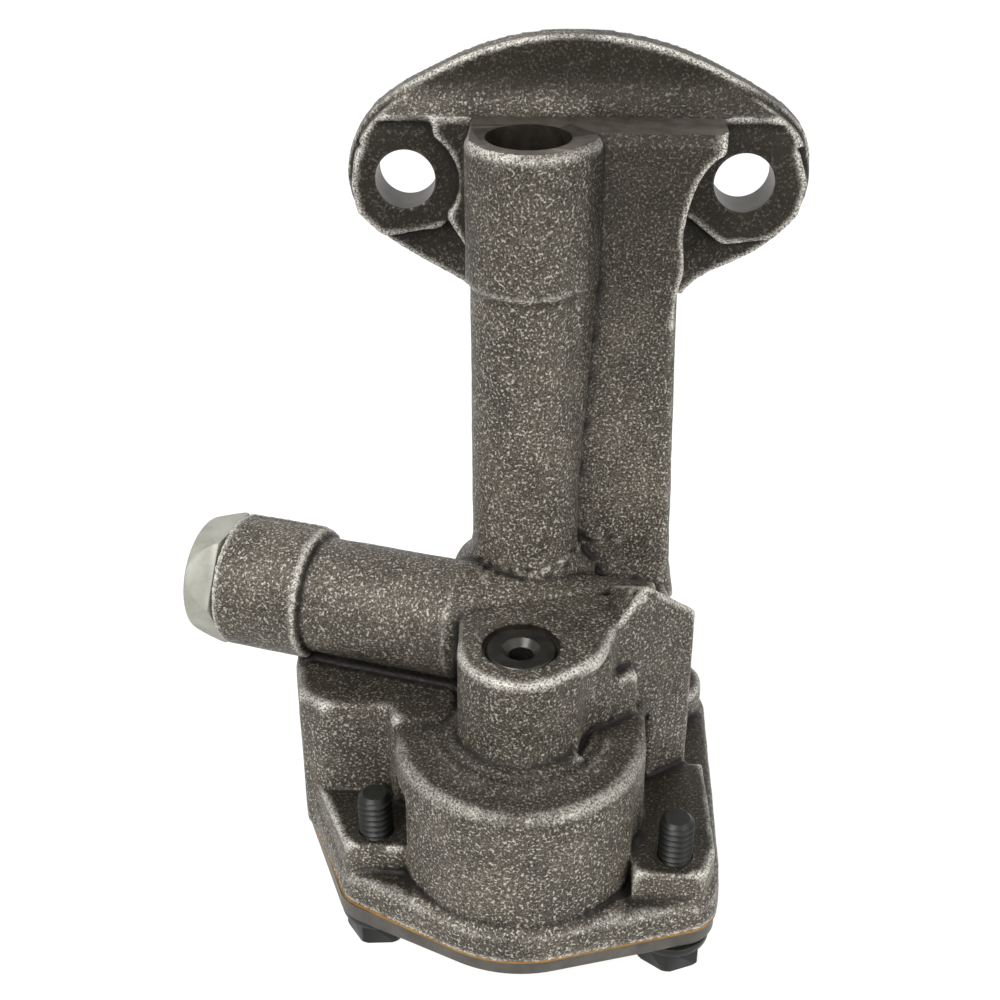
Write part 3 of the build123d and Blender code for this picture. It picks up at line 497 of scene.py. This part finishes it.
def makeCasting():
    pick(nodes["pump_body"])
    bpy.ops.object.duplicate()
    skin = bpy.context.object
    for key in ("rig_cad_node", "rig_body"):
        if key in skin:
            del skin[key]
    skin.parent = None
    skin.data.materials.clear()
    bpy.ops.object.mode_set(mode="EDIT")
    bpy.ops.mesh.select_all(action="SELECT")
    bpy.ops.mesh.remove_doubles(threshold=0.002 * mm)
    bpy.ops.object.mode_set(mode="OBJECT")
    # every hole that is machined later is filled first, so its edge comes out crisp
    plugs = [cylinder("fill", centre, axis, radius + 0.3, low, high)
             for name, centre, axis, radius, low, high, openLow, openHigh in holes]
    # metal that the mould leaves between the idler boss and the sloped face beside it
    clearSelection()
    spot = Vector(web["place"]) + Vector((0, 0, floorZ))
    bpy.ops.mesh.primitive_cube_add(size=1 * mm, location=spot * mm,
                                    rotation=(0, 0, math.radians(web["turn"])), scale=web["size"])
    block = bpy.context.object
    applyModifier(block, "BEVEL", width=web["round"] * mm, segments=3)
    skin = join([skin, block] + plugs, "castSkin")
    applyModifier(skin, "REMESH", mode="VOXEL", voxel_size=castBody["voxel"] * mm, adaptivity=0.0)
    print("cast skin", len(skin.data.polygons), "faces")
    places, facing = readMesh(skin.data)
    along = (places - np.array(tubeStart)) @ np.array(tubeAxis)
    sawn = (places[:, 2] > -0.2) & (places[:, 2] < 0.2) & (places[:, 1] < 11.6)
    sawn |= (places[:, 1] > faceY - 0.3) & (places[:, 2] > cuts["faceBottom"])
    sawn |= (places[:, 2] < floorZ + 0.3) | (along > tube["headEnd"] - 0.25)
    group = skin.vertex_groups.new(name="castSkin")
    group.add(np.nonzero(~sawn)[0].tolist(), 1.0, "REPLACE")
    applyModifier(skin, "SMOOTH", factor=0.5, iterations=castBody["smoothing"], vertex_group="castSkin")
    clouds = bpy.data.textures.new("castWaves", "CLOUDS")
    clouds.noise_scale = castBody["waveSize"] * mm
    applyModifier(skin, "DISPLACE", texture=clouds, texture_coords="GLOBAL", mid_level=0.5,
                  strength=castBody["waves"] * 2 * mm, vertex_group="castSkin")
    castSeams(skin)
    flattenCuts(skin)
    applyModifier(skin, "DECIMATE", ratio=castBody["faces"] / (2 * len(skin.data.polygons)))
    print("after thinning", len(skin.data.polygons), "faces")
    clearSelection()
    bpy.ops.mesh.primitive_cube_add(size=1 * mm, location=Vector(mill["place"]) * mm, scale=mill["size"])
    carve(skin, bpy.context.object)
    for name, centre, axis, radius, low, high, openLow, openHigh in holes:
        tool = cylinder(name, centre, axis, radius, low - (1.0 if openLow else 0.0),
                        high + (1.0 if openHigh else 0.0), 128)
        carve(skin, tool)
    print("after machining", len(skin.data.polygons), "faces")
    markPaintedLightAndWear(skin, 4)
    roundEdges(skin, 35)
    paint(skin, castIron, milledIron, shadedBoreIron)
    # cut faces are told from cast ones by where they lie
    total = len(skin.data.polygons)
    centres = np.empty(total * 3, np.float32)
    normals = np.empty(total * 3, np.float32)
    skin.data.polygons.foreach_get("center", centres)
    skin.data.polygons.foreach_get("normal", normals)
    centres = centres.reshape(-1, 3) / mm
    normals = normals.reshape(-1, 3)
    kind = np.zeros(total, np.int32)
    level = (centres[:, 2] > -0.2) & (centres[:, 2] < 0.15)
    kind[level & (normals[:, 2] > 0.97) & (centres[:, 1] < cuts["neckBack"])] = 1
    kind[(centres[:, 1] > faceY - 0.3) & (normals[:, 1] > 0.95) & (centres[:, 2] > cuts["faceBottom"])] = 1
    kind[(centres[:, 2] < floorZ + 0.15) & (normals[:, 2] < -0.95)] = 1
    for hole in holes:
        kind[insideHole(centres, hole, 0.12, 0.1)] = 2
    skin.data.polygons.foreach_set("material_index", kind)
    applyModifier(skin, "WEIGHTED_NORMAL", keep_sharp=True)
    settle(skin, "pumpCasting", "housing", "cast_iron", "pump_body")


makeCasting()
print("casting done")


# ---- cover screws: hex flange heads below the cover, threads up through the pads ----

screw = {"radius": 3.175, "root": 2.55, "pitch": 1.27, "length": 25.4, "flats": 11.11, "flange": 7.2,
         "flangeHeight": 1.7, "headHeight": 6.7, "seat": -4.1, "turns": (22.7, 4.0, 14.0, 40.0),
         "around": 40, "rings": 320, "tip": 0.35, "collarRound": 0.35, "headRound": 0.3}


def makeScrew(index, x, y):
    base = floorZ + screw["seat"]
    thread, lap, climb = flatGrid(screw["around"], screw["rings"])
    turn = lap * 2 * math.pi
    height = climb * screw["length"]
    # rolled thread: sloping flanks with a narrow crest, tapered at the tip
    wave = np.abs(((height / screw["pitch"] - lap) % 1.0) * 2 - 1)
    radius = screw["root"] + (screw["radius"] - screw["root"]) * np.clip(wave * 1.25 - 0.05, 0, 1)
    radius = np.minimum(radius, screw["root"] - screw["tip"] + np.clip(screw["length"] - height, 0, 5))
    placeVertices(thread, np.stack([radius * np.cos(turn), radius * np.sin(turn), height], 1))
    bpy.ops.object.mode_set(mode="EDIT")
    bpy.ops.mesh.select_all(action="SELECT")
    bpy.ops.mesh.remove_doubles(threshold=0.004 * mm)
    bpy.ops.mesh.select_all(action="DESELECT")
    bpy.ops.mesh.select_non_manifold()
    bpy.ops.mesh.edge_face_add()
    bpy.ops.mesh.select_all(action="SELECT")
    bpy.ops.mesh.normals_make_consistent(inside=False)
    bpy.ops.object.mode_set(mode="OBJECT")
    thread.location = Vector((x, y, base)) * mm
    collar = cylinder("collar", (x, y, base), (0, 0, 1), screw["flange"] - 0.1, -screw["flangeHeight"], 0,
                      64, screw["flange"])
    applyModifier(collar, "BEVEL", width=screw["collarRound"] * mm, segments=3, limit_method="ANGLE",
                  angle_limit=math.radians(50))
    across = screw["flats"] / 2 / math.cos(math.pi / 6)
    head = cylinder("head", (x, y, base), (0, 0, 1), across, -screw["headHeight"] + 0.02, -1.0, 6)
    head.rotation_euler = (0, 0, math.radians(screw["turns"][index] - 90))
    applyModifier(head, "BEVEL", width=screw["headRound"] * mm, segments=3)
    turned = cylinder("turned", (x, y, base), (0, 0, 1), across * 0.9, -screw["headHeight"], 0, 96,
                      across + 6.0)
    carve(head, turned, "INTERSECT", "EXACT")
    return [thread, collar, head]


screwParts = []
for number, (x, y) in enumerate(boltPoints):
    screwParts += makeScrew(number, x, y)
screws = join(screwParts, "coverScrews")
paint(screws, blackOxide)
roundEdges(screws, 35)
settle(screws, "coverScrews", "housing", "black_steel", "cover_bolts")
print("screws done")


# ---- relief valve plug: a turned hex whose corners run down to a cone ----

plug = {"flats": 22.2, "turn": 2.0, "thickness": 6.1, "washer": 0.6, "endRadius": 11.0, "thread": 7.94,
        "threadLength": 10.5, "hollow": 4.8, "hollowDepth": 5.5, "edgeRound": 0.3, "endRound": 0.5}


def makePlug():
    seat = tube["headEnd"] + plug["washer"]
    across = plug["flats"] / 2 / math.cos(math.pi / 6)
    head = cylinder("plugHead", tubeStart, tubeAxis, across, seat, seat + plug["thickness"], 6)
    head.rotation_euler.rotate_axis("Z", math.radians(30 + plug["turn"]))
    applyModifier(head, "BEVEL", width=plug["edgeRound"] * mm, segments=2)
    shape = cylinder("turnedShape", tubeStart, tubeAxis, plug["flats"] / 2 + 1.9, seat - 0.01,
                     seat + plug["thickness"], 128, plug["endRadius"])
    applyModifier(shape, "BEVEL", width=plug["endRound"] * mm, segments=3, limit_method="ANGLE",
                  angle_limit=math.radians(50))
    carve(head, shape, "INTERSECT", "EXACT")
    inner = tube["headEnd"] - plug["threadLength"]
    shank = cylinder("shank", tubeStart, tubeAxis, plug["thread"] - 0.02, inner, seat + 1.0, 96)
    hollow = cylinder("hollow", tubeStart, tubeAxis, plug["hollow"], inner - 1.0,
                      inner + plug["hollowDepth"], 64)
    carve(shank, hollow, "DIFFERENCE", "EXACT")
    whole = join([head, shank], "reliefPlug")
    paint(whole, plugZinc)
    roundEdges(whole, 25)
    settle(whole, "reliefPlug", "housing", "zinc_plated", "relief_plug")


makePlug()
print("plug done")


# ---- relief spring: wire with a closed turn at each end ----

spring = {"start": 19.0, "length": 32.4, "radius": 3.9, "wire": 0.62, "turns": 9, "travel": 9.0,
          "steps": 36, "around": 14}


def makeSpring():
    wire, lap, climb = flatGrid(spring["around"], spring["turns"] * spring["steps"])
    coil = climb * spring["turns"]
    closed = 2 * spring["wire"]
    length = spring["length"] - closed
    lastTurn = spring["turns"] - 1
    height = np.interp(coil, [0, 1, lastTurn, lastTurn + 1], [0, closed, length - closed, length])
    around = lap * 2 * math.pi
    reach = spring["radius"] + spring["wire"] * np.cos(around)
    height += spring["start"] + spring["wire"] * (1 + np.sin(around))
    angle = coil * 2 * math.pi
    places = np.array(tubeStart) + np.array(tubeAxis) * height[:, None]
    places += np.array(tubeSide) * (reach * np.cos(angle))[:, None]
    places[:, 2] += reach * np.sin(angle)
    placeVertices(wire, places)
    bpy.ops.object.mode_set(mode="EDIT")
    bpy.ops.mesh.select_all(action="SELECT")
    bpy.ops.mesh.remove_doubles(threshold=0.004 * mm)
    bpy.ops.mesh.select_all(action="SELECT")
    bpy.ops.mesh.fill_holes(sides=0)
    bpy.ops.mesh.select_all(action="SELECT")
    bpy.ops.mesh.normals_make_consistent(inside=False)
    bpy.ops.object.mode_set(mode="OBJECT")
    paint(wire, springSteel)
    roundEdges(wire, 50)
    settle(wire, "reliefSpring", "housing", "spring_steel", "relief_spring")
    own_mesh(wire)


makeSpring()
print("spring done")


# ---- pieces whose CAD solids are shown as they are ----

dressed = {"cover_plate": coverIron, "cover_gasket": gasketPaper, "cover_dowels": groundSteel,
           "drive_shaft": groundSteel, "drive_gear": gearSteel, "drive_gear_key": groundSteel,
           "idler_gear": gearSteel, "idler_bush": bronze, "idler_shaft": darkSteel,
           "drive_bush_lower": bronze, "drive_bush_upper": bronze, "relief_plunger": groundSteel,
           "relief_spring_shim": groundSteel, "relief_plug_washer": sealFibre}
for name, material in dressed.items():
    paint(nodes[name], material)
print("CAD pieces dressed")


# ---- studio ----

studio = {"sky": 0.28, "floorSize": 6.0, "floorGlow": 0.78, "glowStrength": 1.18, "aim": (0.0, -0.01, -0.07)}
# lamps: name, place, width and depth in metres, watts
lamps = [("keyLight", (-0.28, -0.42, 0.38), (0.35, 0.35), 4.2),
         ("fillLight", (0.45, -0.38, 0.10), (0.45, 0.45), 2.2),
         ("topLight", (0.05, 0.25, 0.55), (0.5, 0.3), 1.8)]


def areaLight(name, place, size, power):
    data = bpy.data.lights.new(name, "AREA")
    data.shape = "RECTANGLE"
    data.size, data.size_y = size
    data.energy = power
    lamp = bpy.data.objects.new(name, data)
    bpy.context.scene.collection.objects.link(lamp)
    lamp.location = place
    lamp.rotation_euler = (Vector(studio["aim"]) - Vector(place)).to_track_quat("-Z", "Y").to_euler()


def whiteRays(tree):
    # 1 for the rays that should meet plain white: seen directly, mirrored or through glass
    path = addNode(tree, "ShaderNodeLightPath")
    mirrored = addNode(tree, "ShaderNodeMath", {0: (path, "Is Camera Ray"), 1: (path, "Is Glossy Ray")},
                       operation="ADD", use_clamp=True)
    passed = addNode(tree, "ShaderNodeMath", {0: (mirrored, 0), 1: (path, "Is Transmission Ray")},
                     operation="ADD", use_clamp=True)
    return (passed, 0)


for lamp in lamps:
    areaLight(*lamp)

clearSelection()
bpy.ops.mesh.primitive_plane_add(size=studio["floorSize"], location=(0, 0, cadBox[0][2]))
studioFloor = bpy.context.object
studioFloor.name = "studioFloor"
paper, tree, shader = newMaterial("whitePaper")
shader.inputs["Base Color"].default_value = linear("#f4f4f2")
shader.inputs["Roughness"].default_value = 0.9
seenShare = addNode(tree, "ShaderNodeMath", {0: whiteRays(tree), 1: studio["floorGlow"]},
                    operation="MULTIPLY")
glow = addNode(tree, "ShaderNodeEmission", {"Color": (1, 1, 1, 1), "Strength": studio["glowStrength"]})
blend = addNode(tree, "ShaderNodeMixShader", {0: (seenShare, 0), 1: (shader, 0), 2: (glow, 0)})
tree.links.new(blend.outputs[0], tree.nodes["Material Output"].inputs["Surface"])
studioFloor.data.materials.append(paper)

world = bpy.data.worlds.new("studioSky")
bpy.context.scene.world = world
world.use_nodes = True
skyTree = world.node_tree
skyOut = skyTree.nodes["World Output"]
soft = skyTree.nodes["Background"]
soft.inputs["Color"].default_value = (1, 1, 1, 1)
soft.inputs["Strength"].default_value = studio["sky"]
seen = addNode(skyTree, "ShaderNodeBackground", {"Color": (1, 1, 1, 1), "Strength": 1.0})
skyMix = addNode(skyTree, "ShaderNodeMixShader", {0: whiteRays(skyTree), 1: (soft, 0), 2: (seen, 0)})
skyTree.links.new(skyMix.outputs[0], skyOut.inputs["Surface"])
bpy.context.scene.view_settings.view_transform = "Standard"

view = {"lens": 55.8, "place": (4.03, -248.74, 75.19), "tilt": 60.0, "turn": 2.0}
cameraData = bpy.data.cameras.new("camera")
cameraData.lens = view["lens"]
cameraData.sensor_width = 36.0
cameraData.clip_start = 0.01
camera = bpy.data.objects.new("camera", cameraData)
bpy.context.scene.collection.objects.link(camera)
camera.location = Vector(view["place"]) * mm
camera.rotation_euler = (math.radians(view["tilt"]), 0, math.radians(view["turn"]))
bpy.context.scene.camera = camera
print("studio ready")
